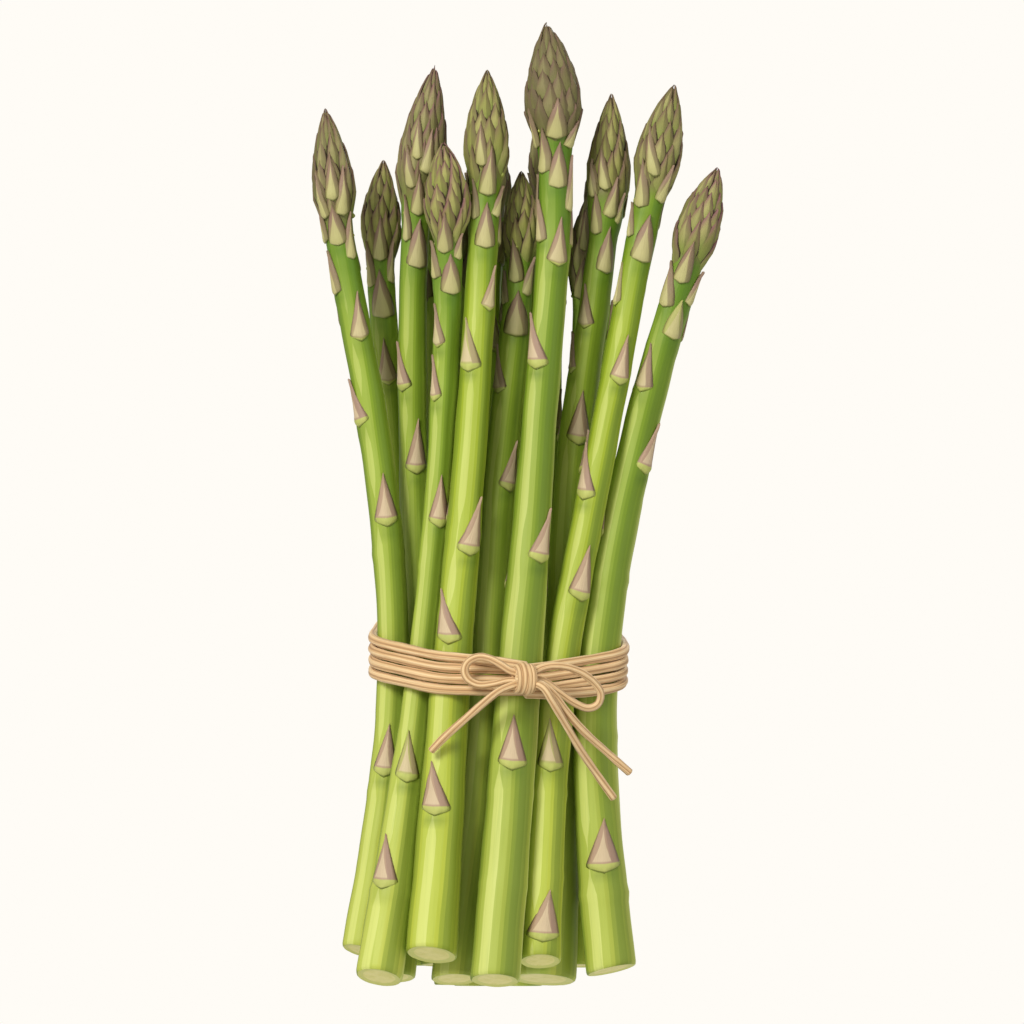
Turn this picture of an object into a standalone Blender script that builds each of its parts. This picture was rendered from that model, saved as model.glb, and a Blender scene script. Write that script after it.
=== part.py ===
"""A bundle of asparagus, standing on its cut ends and tied at the waist with four turns of twine and a bow.

Run it with blender --background --python part.py, or from Blender's text editor.
Units are metres, +Z is up, -Y is the front (the side with the bow), and the origin is on the surface that the
bundle stands on, under its middle.
Each spear grew as one piece, so it is one solid. The twine is one solid for each stretch of it.
"""

import math
from collections import namedtuple

import bmesh
import bpy
import numpy as np
from mathutils import Vector

MM = 0.001

# ---------------------------------------------------------------- driving dimensions, in millimetres

WAIST_HEIGHT = 77.0  # where the twine squeezes the bundle
MIDDLE_HEIGHT = 129.0  # where the outer spears bend outwards
SPEAR_SIDES = 12
STALK_RINGS = 10  # rings of points from the cut end to the head
HEAD_RINGS = 7  # rings of points on the head
HEAD_WIDEST = 0.35  # how far up the head its widest place is
HEAD_FULLNESS = 1.8  # how late the head tapers
TIP_BLUNT = 0.985  # how far up the head its last ring is, under the pointed tip

WRAP_RADIUS = 1.1
BOW_RADIUS = 0.95
TURNS = 4
POINTS_PER_TURN = 44
TWINE_CLEARANCE = 0.45  # between the spears and the twine's inner side
TURN_PITCH_FRONT = 2.5
TURN_PITCH_SIDE = 2.9
BAND_HEIGHT = 79.2  # middle of the band of twine, above the origin
BAND_SLOPE = 0.28  # how much the band rises towards the back
END_STEPS = 5  # points over which each end of the twine crosses over its neighbour to the knot
END_TURN = 75.0  # degrees that each end turns round its neighbour

KNOT_CENTRE = Vector((2.6, -29.6, 73.0))
KNOT_LENGTH = 5.8
KNOT_RADIUS = 3.7
KNOT_FLATNESS = 0.78  # its depth front to back, over its height
KNOT_GROOVE = 0.5
KNOT_TURNS = 3
KNOT_SIDES = 16

CORD_STEP = 2.0  # spacing of the points along the bow's loops and tails

# The bow's routes, from the knot's centre: right, back, up.
LOOP_LEFT = [
    (-3.7, 1.0, 1.9), (-6.0, 1.4, 3.4), (-8.6, 2.0, 4.8), (-11.3, 2.6, 5.2), (-13.7, 3.2, 4.0), (-14.5, 3.6, 1.9),
    (-13.5, 3.8, -0.2), (-11.0, 3.6, -1.4), (-7.6, 2.8, -1.2), (-3.7, 1.8, -0.5),
]
LOOP_RIGHT = [
    (3.7, 0.9, 2.6), (6.2, 1.0, 3.1), (9.6, 1.8, 2.8), (13.0, 3.0, 1.5), (16.0, 4.4, -0.7), (17.7, 5.5, -3.4),
    (16.9, 6.0, -6.0), (14.3, 5.8, -6.8), (10.9, 4.7, -5.3), (7.3, 3.1, -2.7), (3.7, 1.8, -0.4),
]
TAIL_LEFT = [
    (-3.7, -0.7, -1.8), (-6.6, -0.6, -3.1), (-10.2, 1.4, -5.9), (-14.9, 3.9, -9.9), (-19.2, 5.7, -13.7),
    (-22.4, 6.8, -16.9),
]
TAIL_RIGHT = [
    (3.9, -2.5, -2.0), (6.2, -1.9, -5.4), (9.5, 1.6, -11.0), (12.9, 5.6, -16.7), (16.9, 9.4, -22.5),
    (20.8, 12.4, -28.0),
]
TAIL_SPARE = [
    (3.7, -0.4, -1.4), (6.6, -0.1, -3.8), (9.8, 1.7, -8.0), (13.6, 4.7, -12.3), (18.4, 8.0, -16.6),
    (24.6, 11.0, -22.0),
]

# Each spear: its number; the cut end's middle (right, back); how high the cut's lowest edge is above the surface;
# the cut's rise to the right and to the back; the axis at the waist and at the middle height (right, back), at the
# neck under the head and at the tip (right, back, up); and the radius at the foot, the waist, the middle height, the
# neck and the widest of the head.
Spear = namedtuple("Spear", "number foot lift cut waist middle neck tip radii")
SPEARS = [
    Spear(1, (-36.6, -5.7), 6.7, (-0.25, -0.3), (-28.9, -2.1), (-33.0, -2.9),
          (-42.0, -3.2, 179.5), (-45.6, -5.1, 210.8), (4.7, 3.75, 3.8, 3.3, 4.8)),
    Spear(2, (-32.6, 11.0), 2.5, (0.0, 0.0), (-26.4, 14.2), (-29.2, 13.6),
          (-32.6, 12.9, 173.0), (-31.9, 13.9, 200.2), (4.6, 3.8, 3.5, 3.3, 4.75)),
    Spear(3, (-29.1, 0.1), 0.7, (0.0, -0.25), (-23.0, 5.8), (-24.4, 3.5),
          (-24.0, 1.3, 182.8), (-19.3, 3.0, 222.2), (5.2, 3.9, 3.6, 3.2, 5.6)),
    Spear(4, (-32.2, -16.2), 0.0, (-0.17, -0.38), (-22.3, -8.7), (-17.6, -8.5),
          (-16.0, -11.2, 177.8), (-17.1, -18.7, 201.2), (5.7, 3.2, 3.15, 3.3, 5.1)),
    Spear(5, (-19.7, -19.7), 5.5, (-0.12, -0.36), (-14.9, -14.4), (-10.6, -12.6),
          (-7.2, -9.6, 188.8), (-6.6, -7.9, 219.8), (6.1, 4.6, 3.9, 3.5, 5.2)),
    Spear(6, (-14.4, -6.7), 0.2, (0.0, -0.28), (-6.9, -5.8), (-2.9, -2.4),
          (1.3, -0.5, 171.8), (1.6, -0.9, 196.1), (5.5, 4.2, 3.9, 3.3, 4.4)),
    Spear(7, (-4.7, -22.9), 0.0, (-0.05, -0.3), (1.3, -16.0), (5.3, -13.0),
          (9.7, -10.7, 198.8), (7.6, -12.1, 230.8), (5.9, 5.25, 4.15, 3.8, 6.6)),
    Spear(8, (6.8, -3.6), 0.0, (-0.06, -0.2), (11.5, 1.0), (14.2, -0.5),
          (21.3, -0.2, 179.8), (23.3, -0.9, 214.8), (8.0, 4.6, 4.0, 3.3, 5.2)),
    Spear(9, (16.1, 6.9), 4.3, (0.0, -0.1), (18.8, 7.5), (17.3, 8.9),
          (17.2, 9.7, 163.3), (18.6, 10.6, 192.8), (5.0, 4.0, 3.6, 3.2, 4.7)),
    Spear(10, (6.0, -16.5), 4.3, (0.0, -0.38), (11.0, -10.9), (20.9, -9.2),
          (31.8, -7.1, 186.8), (38.4, -5.3, 216.5), (4.95, 4.1, 3.5, 3.4, 5.2)),
    Spear(11, (22.9, -9.1), 2.4, (0.22, -0.15), (19.8, -6.1), (28.9, -3.8),
          (40.6, -6.2, 171.3), (48.8, -8.1, 196.3), (6.1, 4.9, 4.2, 3.5, 4.9)),
    Spear(12, (-17.7, 3.8), 4.6, (0.0, -0.1), (-14.0, 0.6), (-13.6, 0.7),
          (-12.9, 0.4, 164.8), (-12.3, -1.0, 189.8), (5.0, 3.9, 3.5, 3.2, 4.7)),
    Spear(13, (1.6, 10.4), 0.0, (0.0, 0.0), (0.6, 5.2), (4.0, 4.8),
          (9.5, 5.1, 197.3), (8.7, 7.0, 225.8), (5.2, 4.1, 3.7, 3.4, 4.9)),
    Spear(14, (-9.6, 11.3), 0.0, (0.0, 0.0), (-8.6, 8.3), (-7.0, 8.4),
          (-6.8, 8.8, 184.8), (-6.6, 12.0, 211.8), (5.2, 4.1, 3.7, 3.4, 4.7)),
    Spear(15, (-20.1, 15.7), 4.8, (0.0, 0.0), (-17.4, 12.6), (-18.9, 13.4),
          (-20.3, 14.9, 185.8), (-20.4, 19.0, 213.8), (5.2, 4.1, 3.7, 3.4, 4.6)),
    Spear(16, (7.3, 20.0), 0.0, (0.0, 0.0), (6.4, 12.6), (7.4, 14.9),
          (8.6, 17.0, 188.8), (8.4, 21.8, 216.8), (5.2, 4.1, 3.7, 3.4, 4.7)),
    Spear(17, (18.7, 17.4), 4.4, (0.0, 0.0), (15.4, 16.7), (17.6, 17.5),
          (21.0, 18.7, 181.8), (22.6, 18.8, 207.8), (5.0, 4.0, 3.6, 3.3, 4.4)),
    Spear(18, (-4.1, 21.0), 0.0, (0.0, 0.0), (-2.7, 15.5), (-4.0, 18.0),
          (-5.5, 20.9, 185.8), (-6.5, 26.9, 208.8), (5.2, 4.1, 3.7, 3.4, 4.6)),
    Spear(19, (-14.7, 25.4), 0.0, (0.0, 0.0), (-11.1, 19.3), (-14.0, 22.0),
          (-18.2, 25.2, 185.8), (-19.5, 30.7, 209.8), (5.0, 4.0, 3.6, 3.3, 4.5)),
]


# ---------------------------------------------------------------- scene and materials


def clear_scene():
    for old in list(bpy.data.objects):
        bpy.data.objects.remove(old)


def finish(name, colour, roughness):
    """A Principled BSDF for one of the bundle's materials."""
    material = bpy.data.materials.new(name)
    material.use_nodes = True
    shader = material.node_tree.nodes["Principled BSDF"]
    shader.inputs["Base Color"].default_value = (*colour, 1.0)
    shader.inputs["Roughness"].default_value = roughness
    shader.inputs["Metallic"].default_value = 0.0
    return material


# ---------------------------------------------------------------- spears


def foot_centre(spear):
    """The middle of the cut end: high enough for the slanting cut's lowest edge to be at its lift."""
    rise = spear.radii[0] * math.hypot(*spear.cut)
    return Vector((*spear.foot, spear.lift + rise))


def axis_points(spear):
    """The points that the spear's axis goes through, from foot to tip."""
    waist, middle = Vector((*spear.waist, WAIST_HEIGHT)), Vector((*spear.middle, MIDDLE_HEIGHT))
    return [foot_centre(spear), waist, middle, Vector(spear.neck), Vector(spear.tip)]


def axis_at(spear, height):
    """The place and direction of the spear's axis at a height: a cubic Hermite curve through its points."""
    points = axis_points(spear)
    heights = [p.z for p in points]
    spans = [b - a for a, b in zip(heights, heights[1:])]
    secants = [(b - a) / span for a, b, span in zip(points, points[1:], spans)]
    inner = [
        (secants[i] * spans[i + 1] + secants[i + 1] * spans[i]) / (spans[i] + spans[i + 1])
        for i in range(len(secants) - 1)
    ]
    slopes = [1.5 * secants[0] - 0.5 * inner[0], *inner, 1.5 * secants[-1] - 0.5 * inner[-1]]
    i = min(max(sum(h <= height for h in heights) - 1, 0), len(spans) - 1)
    t = (height - heights[i]) / spans[i]
    start, end, out, into = points[i], points[i + 1], slopes[i] * spans[i], slopes[i + 1] * spans[i]
    place = (
        start * (2 * t**3 - 3 * t**2 + 1)
        + out * (t**3 - 2 * t**2 + t)
        + end * (3 * t**2 - 2 * t**3)
        + into * (t**3 - t**2)
    )
    direction = (
        (end - start) * (6 * t - 6 * t**2) + out * (3 * t**2 - 4 * t + 1) + into * (3 * t**2 - 2 * t)
    ) / spans[i]
    return place, direction.normalized()


def radius_at(spear, height):
    """A stalk that thins from foot to neck, and an egg-shaped head that ends in a point."""
    *stalk, head = spear.radii
    neck, neck_height, top = stalk[-1], spear.neck[2], spear.tip[2]
    if height <= neck_height:
        return float(np.interp(height, [p.z for p in axis_points(spear)[:-1]], stalk))
    up = (height - neck_height) / (top - neck_height)
    if up < HEAD_WIDEST:
        share = up / HEAD_WIDEST
        return neck + (head - neck) * share * share * (3 - 2 * share)
    share = (up - HEAD_WIDEST) / (1 - HEAD_WIDEST)
    return head * max(0.0, 1 - share**HEAD_FULLNESS) ** 0.9


def ring_points(spear, height):
    """A ring of points round the axis, square to it."""
    place, direction = axis_at(spear, height)
    side = Vector((1, 0, 0)) - direction * direction.x
    side.normalize()
    back = direction.cross(side)
    radius = radius_at(spear, height)
    angles = [2 * math.pi * k / SPEAR_SIDES for k in range(SPEAR_SIDES)]
    return [place + (side * math.cos(a) + back * math.sin(a)) * radius for a in angles]


def cut_ring(spear):
    """The cut end's edge: the lowest ring slid along the stalk onto the plane of the cut."""
    centre = foot_centre(spear)
    _, direction = axis_at(spear, centre.z)
    right, back = spear.cut
    normal = Vector((-right, -back, 1.0))
    ring = ring_points(spear, centre.z)
    return [p - direction * ((p - centre).dot(normal) / direction.dot(normal)) for p in ring]


def make_spear(spear, material):
    low, neck_height, top = foot_centre(spear).z, spear.neck[2], spear.tip[2]
    stalk = np.linspace(low, neck_height, STALK_RINGS)[1:]
    head = np.linspace(neck_height, neck_height + (top - neck_height) * TIP_BLUNT, HEAD_RINGS)[1:]
    rings = [cut_ring(spear)] + [ring_points(spear, float(h)) for h in [*stalk, *head]]
    mesh = bmesh.new()
    made = [[mesh.verts.new(p * MM) for p in ring] for ring in rings]
    mesh.faces.new(reversed(made[0]))
    for lower, upper in zip(made, made[1:]):
        for k in range(SPEAR_SIDES):
            nxt = (k + 1) % SPEAR_SIDES
            mesh.faces.new((lower[k], lower[nxt], upper[nxt], upper[k]))
    point = mesh.verts.new(Vector(spear.tip) * MM)
    for k in range(SPEAR_SIDES):
        mesh.faces.new((made[-1][k], made[-1][(k + 1) % SPEAR_SIDES], point))
    name = f"spear_{spear.number:02d}"
    data = bpy.data.meshes.new(name)
    mesh.to_mesh(data)
    mesh.free()
    data.shade_smooth()
    data.set_sharp_from_angle(angle=math.radians(40))
    data.materials.append(material)
    obj = bpy.data.objects.new(name, data)
    bpy.context.scene.collection.objects.link(obj)
    return obj


# ---------------------------------------------------------------- twine


def tube(name, points, radius, material):
    """A length of twine along points in millimetres, with filled ends."""
    curve = bpy.data.curves.new(name, "CURVE")
    curve.dimensions = "3D"
    curve.bevel_depth = radius * MM
    curve.bevel_resolution = 2
    curve.use_fill_caps = True
    line = curve.splines.new("POLY")
    line.points.add(len(points) - 1)
    for target, p in zip(line.points, points):
        target.co = (*(Vector(p) * MM), 1.0)
    curve.materials.append(material)
    obj = bpy.data.objects.new(name, curve)
    bpy.context.scene.collection.objects.link(obj)
    return obj


def smooth_route(points, step):
    """Evenly spaced points on a smooth curve (Catmull-Rom) through a route's own points."""
    route = [Vector(p) for p in points]
    route = [2 * route[0] - route[1], *route, 2 * route[-1] - route[-2]]
    fine = []
    for a, b, c, d in zip(route, route[1:], route[2:], route[3:]):
        for t in np.linspace(0, 1, 16, endpoint=False):
            fine.append(
                0.5 * (2 * b + (c - a) * t + (2 * a - 5 * b + 4 * c - d) * t**2 + (3 * b - a - 3 * c + d) * t**3)
            )
    fine.append(route[-2])
    return evenly(np.array(fine), round(length_of(fine) / step) + 1)


def length_of(points):
    return float(np.linalg.norm(np.diff(np.array(points), axis=0), axis=1).sum())


def evenly(points, count):
    """count points at even distances along a line of points."""
    steps = np.linalg.norm(np.diff(points, axis=0), axis=1)
    along = np.concatenate([[0.0], np.cumsum(steps)])
    at = np.linspace(0.0, along[-1], count)
    return np.stack([np.interp(at, along, points[:, k]) for k in range(points.shape[1])], axis=1)


def band_height(back, turns):
    """The height of the band's twine at a place front to back, so many turns above the band's middle."""
    return BAND_HEIGHT + BAND_SLOPE * back + TURN_PITCH_SIDE * turns


def taut_loop(turns):
    """The line of one turn pulled tight round all spears, as evenly spaced (right, back) points.

    For each direction outwards, the twine touches the spear that reaches furthest that way. The loop starts at
    the front, under the knot, and runs by the right."""
    spears = []
    for spear in SPEARS:
        height = band_height(axis_at(spear, BAND_HEIGHT)[0].y, turns)
        reach = radius_at(spear, height) + TWINE_CLEARANCE + WRAP_RADIUS
        spears.append((axis_at(spear, height)[0], reach))
    edge = []
    for angle in np.linspace(-math.pi / 2, 1.5 * math.pi, 1441):
        out = Vector((math.cos(angle), math.sin(angle), 0.0))
        middle, reach = max(spears, key=lambda spear: spear[0].dot(out) + spear[1])
        point = middle + out * reach
        edge.append((point.x, point.y))
    edge = np.array(edge)
    knot_side = np.argmin(np.abs(edge[:, 0] - KNOT_CENTRE.x) + 1e3 * (edge[:, 1] > 0))
    edge = np.roll(edge[:-1], -knot_side, axis=0)
    return evenly(np.vstack([edge, edge[:1]]), POINTS_PER_TURN + 1)


def wrap_points():
    """Four turns round the bundle, climbing by one twine a turn, with both ends crossed over behind the knot."""
    loops = [taut_loop(turn - TURNS / 2) for turn in range(TURNS + 1)]
    last = TURNS * POINTS_PER_TURN
    points = []
    for step in range(last + 1):
        turn, place = divmod(step, POINTS_PER_TURN)
        share = place / POINTS_PER_TURN
        right, back = loops[turn][place] * (1 - share) + loops[min(turn + 1, TURNS)][place] * share
        spread = TURN_PITCH_FRONT / TURN_PITCH_SIDE
        spread += (1 - spread) * math.sin(math.pi * share) ** 2
        up = band_height(back, spread * (turn + share - TURNS / 2))
        from_end = min(step, last - step)
        over = math.radians(END_TURN) * max(0.0, 1 - from_end / END_STEPS)
        inwards = 1 if step < last / 2 else -1
        up += inwards * TURN_PITCH_FRONT * (1 - math.cos(over))
        points.append((right, back - TURN_PITCH_FRONT * math.sin(over), up))
    return points


def make_knot(material):
    """The knot: three turns of twine side by side, as a turned solid with its axis to the right."""
    profile = []
    for place in np.linspace(0.0, 1.0, 8 * KNOT_TURNS + 1):
        ridge = abs(math.sin(math.pi * KNOT_TURNS * place))
        profile.append(((place - 0.5) * KNOT_LENGTH, KNOT_RADIUS - KNOT_GROOVE * (1 - ridge) ** 2))
    mesh = bmesh.new()
    rings = []
    for along, radius in profile:
        ring = []
        for k in range(KNOT_SIDES):
            angle = 2 * math.pi * k / KNOT_SIDES
            offset = Vector((along, KNOT_FLATNESS * radius * math.cos(angle), radius * math.sin(angle)))
            ring.append(mesh.verts.new((KNOT_CENTRE + offset) * MM))
        rings.append(ring)
    for left, right in zip(rings, rings[1:]):
        for k in range(KNOT_SIDES):
            nxt = (k + 1) % KNOT_SIDES
            mesh.faces.new((left[k], left[nxt], right[nxt], right[k]))
    mesh.faces.new(reversed(rings[0]))
    mesh.faces.new(rings[-1])
    bmesh.ops.recalc_face_normals(mesh, faces=mesh.faces)
    data = bpy.data.meshes.new("twine_knot")
    mesh.to_mesh(data)
    mesh.free()
    data.shade_smooth()
    data.materials.append(material)
    obj = bpy.data.objects.new("twine_knot", data)
    bpy.context.scene.collection.objects.link(obj)
    return obj


def make_bow(material):
    """Two loops and three tails, which come out of the knot."""
    routes = {
        "bow_loop_left": LOOP_LEFT,
        "bow_loop_right": LOOP_RIGHT,
        "twine_tail_left": TAIL_LEFT,
        "twine_tail_right": TAIL_RIGHT,
        "twine_tail_spare": TAIL_SPARE,
    }
    for name, route in routes.items():
        tube(name, smooth_route([KNOT_CENTRE + Vector(p) for p in route], CORD_STEP), BOW_RADIUS, material)


# ---------------------------------------------------------------- the bundle


def main():
    clear_scene()
    asparagus = finish("asparagus", (0.36, 0.52, 0.09), 0.45)
    twine = finish("twine", (0.66, 0.47, 0.27), 0.75)
    for spear in SPEARS:
        make_spear(spear, asparagus)
    tube("twine_wrap", wrap_points(), WRAP_RADIUS, twine)
    make_knot(twine)
    make_bow(twine)


main()
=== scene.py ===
# %% [markdown]
# # A bundle of asparagus
# Nineteen fresh spears stand on their cut ends, tied at the waist with raffia twine. The shapes that collide come
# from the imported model, one solid for each spear and each stretch of twine. This script keeps to those solids'
# places and sizes, and builds on them what the eye sees: waxy skin, scale leaves, buds of overlapping scales, pale
# cut ends and fibrous twine.
#
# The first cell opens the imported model. Its nodes give the line and the thickness of every stalk later.

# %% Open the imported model
import math
import random

import bmesh
import bpy
import numpy as np
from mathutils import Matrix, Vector
from mathutils.bvhtree import BVHTree


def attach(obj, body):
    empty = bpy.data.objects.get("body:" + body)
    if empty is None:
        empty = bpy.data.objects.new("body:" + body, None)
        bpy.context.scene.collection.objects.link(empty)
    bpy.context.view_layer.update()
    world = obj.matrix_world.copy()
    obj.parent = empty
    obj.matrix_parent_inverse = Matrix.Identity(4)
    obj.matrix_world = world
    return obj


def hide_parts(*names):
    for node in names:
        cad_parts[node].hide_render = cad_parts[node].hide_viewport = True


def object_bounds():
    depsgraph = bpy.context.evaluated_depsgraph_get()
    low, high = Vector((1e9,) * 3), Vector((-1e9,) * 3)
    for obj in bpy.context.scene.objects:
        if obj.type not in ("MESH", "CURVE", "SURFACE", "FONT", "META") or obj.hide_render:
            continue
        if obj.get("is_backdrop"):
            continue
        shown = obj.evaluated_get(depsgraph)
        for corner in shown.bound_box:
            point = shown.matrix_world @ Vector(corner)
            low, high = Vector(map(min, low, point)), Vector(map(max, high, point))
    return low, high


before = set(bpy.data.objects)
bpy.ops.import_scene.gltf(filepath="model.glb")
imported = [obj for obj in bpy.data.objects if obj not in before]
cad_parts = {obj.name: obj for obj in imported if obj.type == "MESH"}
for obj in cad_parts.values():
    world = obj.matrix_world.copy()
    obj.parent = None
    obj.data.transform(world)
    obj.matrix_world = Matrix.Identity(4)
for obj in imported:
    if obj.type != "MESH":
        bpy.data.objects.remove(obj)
cad_low, cad_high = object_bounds()
MM = 0.001
print("packed model, mm:", [round((b - a) / MM, 1) for a, b in zip(cad_low, cad_high)])

# %% [markdown]
# The camera stands well back with a long lens, so that the spears hardly converge. It is low, near the surface,
# and looks very slightly upwards at the middle of the bundle.

# %% Set up the camera
CAMERA_PLACE = (-0.0007, -1.707, 0.030)
LOOKS_AT = Vector((-0.0007, 0.0, 0.1138))


def add_object(name, data):
    made = bpy.data.objects.new(name, data)
    bpy.context.scene.collection.objects.link(made)
    return made


def aim(made, place, target):
    """Puts a camera or a lamp in its place and turns it towards a target."""
    made.location = place
    made.rotation_euler = (target - made.location).to_track_quat("-Z", "Y").to_euler()


camera_data = bpy.data.cameras.new("camera")
camera_data.sensor_width = 36.0
camera_data.lens = 250.0
camera = add_object("camera", camera_data)
aim(camera, CAMERA_PLACE, LOOKS_AT)
bpy.context.scene.camera = camera
print("camera distance, m:", round((LOOKS_AT - camera.location).length, 3))

# %% [markdown]
# Plants and twine are both stacks of rings: a stalk is a tall stack, and a scale leaf is a short one whose rings
# are flat. So one tool makes all. It joins closed rings into a mesh, and notes three things at each point for the
# paint:
# - place: where the point is on the straightened stalk, as a direction round it and a height;
# - zone: across, up and a chance number, on one leaf or scale;
# - tone: what belongs to the whole spear or spot, such as how crowded it is.

# %% A workpiece that collects rings of points


class Workpiece:
    """Closed rings of points in millimetres, joined into one mesh with several finishes."""

    def __init__(self, name):
        self.name = name
        self.points, self.faces, self.finishes = [], [], []
        self.notes = {"place": [], "zone": [], "tone": []}

    def _add(self, points, *notes):
        first = len(self.points)
        self.points.extend(points)
        for noted, values in zip(self.notes.values(), notes):
            noted.extend(values)
        return first

    def stack(self, rings, place, zone, tone, finish=0, start=None, end=None):
        """Joins rings into a skin. start and end close it: each is a point with its place, zone and tone."""
        rows, around = rings.shape[:2]
        flat = [np.broadcast_to(a, rings.shape).reshape(-1, 3) for a in (rings, place, zone, tone)]
        first = self._add(*flat)
        index = first + np.arange(rows * around).reshape(rows, around)
        for lower, upper in zip(index, index[1:]):
            for a, b, c, d in zip(lower, np.roll(lower, -1), np.roll(upper, -1), upper):
                self.faces.append((a, b, c, d))
                self.finishes.append(finish)
        for ring, tip, flip in ((index[0], start, True), (index[-1], end, False)):
            if tip is not None:
                middle = self._add(*[[value] for value in tip])
                for a, b in zip(ring, np.roll(ring, -1)):
                    self.faces.append((b, a, middle) if flip else (a, b, middle))
                    self.finishes.append(finish)

    def make(self, materials, replaces):
        mesh = bpy.data.meshes.new(self.name)
        mesh.from_pydata((np.array(self.points) * MM).tolist(), [], [list(map(int, f)) for f in self.faces])
        for material in materials:
            mesh.materials.append(material)
        mesh.polygons.foreach_set("material_index", np.array(self.finishes, np.int32))
        for key, values in self.notes.items():
            attribute = mesh.attributes.new(key, "FLOAT_VECTOR", "POINT")
            attribute.data.foreach_set("vector", np.array(values, np.float32).ravel())
        sculpt = bmesh.new()
        sculpt.from_mesh(mesh)
        bmesh.ops.recalc_face_normals(sculpt, faces=sculpt.faces)
        sculpt.to_mesh(mesh)
        sculpt.free()
        mesh.shade_smooth()
        made = add_object(self.name, mesh)
        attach(made, "root")
        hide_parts(*replaces)
        print(self.name, "has faces:", len(mesh.polygons))
        return made


# %% [markdown]
# The bow's cords are raffia: long flat leaf fibres rolled into a thin limp cord. Each is a tube swept along a
# smooth curve. The lengthwise furrows between the fibres are in the mesh, so they catch the light, and they turn
# slowly round the cord as real fibres do.

# %% Sweep a cord of raffia along a line
FURROWS = 5
FURROW_DEPTH = 0.075  # as a share of the cord's radius


def evenly(points, count):
    """Evenly spaced points on a line of points."""
    along = np.concatenate([[0.0], np.cumsum(np.linalg.norm(np.diff(points, axis=0), axis=1))])
    at = np.linspace(0.0, along[-1], count)
    return np.stack([np.interp(at, along, points[:, k]) for k in range(points.shape[1])], axis=1)


def unit(vectors):
    return vectors / np.linalg.norm(vectors, axis=-1, keepdims=True)


def full_circle(count):
    return np.linspace(0, 2 * np.pi, count, endpoint=False)


def length_of(points):
    return float(np.linalg.norm(np.diff(points, axis=0), axis=1).sum())


def smooth_route(route, step):
    """A smooth curve (Catmull-Rom) through a route's own points."""
    route = np.array(route, float)
    route = np.vstack([2 * route[0] - route[1], route, 2 * route[-1] - route[-2]])
    fine = []
    for a, b, c, d in zip(route, route[1:], route[2:], route[3:]):
        for t in np.linspace(0, 1, 16, endpoint=False):
            fine.append(
                0.5 * (2 * b + (c - a) * t + (2 * a - 5 * b + 4 * c - d) * t**2 + (3 * b - a - 3 * c + d) * t**3)
            )
    fine = np.array(fine + [route[-2]])
    return evenly(fine, round(length_of(fine) / step) + 1)


def sweep_raffia(work, line, radius, seed, sides=20, closed=False, twist=0.035):
    """A furrowed cord along a line in millimetres, with slightly rounded ends unless it is a closed ring."""
    chance = np.random.default_rng(seed)
    along = np.gradient(line, axis=0)
    if closed:
        along = np.roll(line, -1, axis=0) - np.roll(line, 1, axis=0)
    along = unit(along)
    side = np.cross(along[0], [0.0, 0.31, 1.0])
    rings, place, travelled = [], [], 0.0
    angles = full_circle(sides)
    phase = chance.uniform(0, 6.28, 4)
    for k, (point, forward) in enumerate(zip(line, along)):
        side = unit(side - forward * side.dot(forward))
        up = np.cross(forward, side)
        travelled += float(np.linalg.norm(line[k] - line[k - 1])) if k else 0.0
        fibre = angles + twist * travelled + phase[0]
        ridge = 1 - FURROW_DEPTH * np.abs(np.cos(0.5 * FURROWS * fibre)) ** 6
        ridge += 0.03 * np.sin(2 * fibre + phase[1] + 0.21 * travelled)
        ridge *= 1 + 0.035 * math.sin(0.47 * travelled + phase[2]) + 0.02 * math.sin(1.13 * travelled + phase[3])
        out = np.cos(angles)[:, None] * side + np.sin(angles)[:, None] * up
        rings.append(point + radius * ridge[:, None] * out)
        place.append(np.stack([np.cos(fibre), np.sin(fibre), np.full(sides, travelled)], axis=1))
    if closed:
        rings.append(rings[0])
        place.append(place[0] + [0, 0, travelled])
        work.stack(np.array(rings), np.array(place), (0.5, 0.5, chance.random()), (0, 0, 0))
        return
    caps = []
    for end, forward, point in ((0, -along[0], line[0]), (-1, along[-1], line[-1])):
        caps.append(point + forward * radius * 0.30)
        blunt = point + (rings[end] - point) * 0.82 + forward * radius * 0.18
        rings.insert(0 if end == 0 else len(rings), blunt)
        place.insert(0 if end == 0 else len(place), place[end])
    zone = np.zeros((len(rings), 1, 3))
    zone[:, 0, 0] = 0.5
    zone[[0, -1], 0, 0] = 1.0
    zone[:, 0, 2] = chance.random()
    start, end = [(cap, place[i][0], (1.0, 0.5, 0.5), (0, 0, 0)) for cap, i in zip(caps, (0, -1))]
    work.stack(np.array(rings), np.array(place), zone, (0, 0, 0), start=start, end=end)


# %% [markdown]
# From the knot in front come two loops and three loose tails. As in any bow, each loop runs on through the knot
# into the tail on the other side. The third tail belongs to a second strand that ends inside the knot. The routes
# are written from the knot's middle: right, back, up, in millimetres.

# %% The bow's routes
KNOT_CENTRE = np.array([2.6, -29.6, 73.0])
BOW_RADIUS = 0.95
CORD_STEP = 0.6
LOOP_LEFT = [
    (-3.7, 1.0, 1.9), (-6.0, 1.4, 3.4), (-8.6, 2.0, 4.8), (-11.3, 2.6, 5.2), (-13.7, 3.2, 4.0),
    (-14.5, 3.6, 1.9), (-13.5, 3.8, -0.2), (-11.0, 3.6, -1.4), (-7.6, 2.8, -1.2), (-3.7, 1.8, -0.5),
]
LOOP_RIGHT = [
    (3.7, 0.9, 2.6), (6.2, 1.0, 3.1), (9.6, 1.8, 2.8), (13.0, 3.0, 1.5), (16.0, 4.4, -0.7), (17.7, 5.5, -3.4),
    (16.9, 6.0, -6.0), (14.3, 5.8, -6.8), (10.9, 4.7, -5.3), (7.3, 3.1, -2.7), (3.7, 1.8, -0.4),
]
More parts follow.
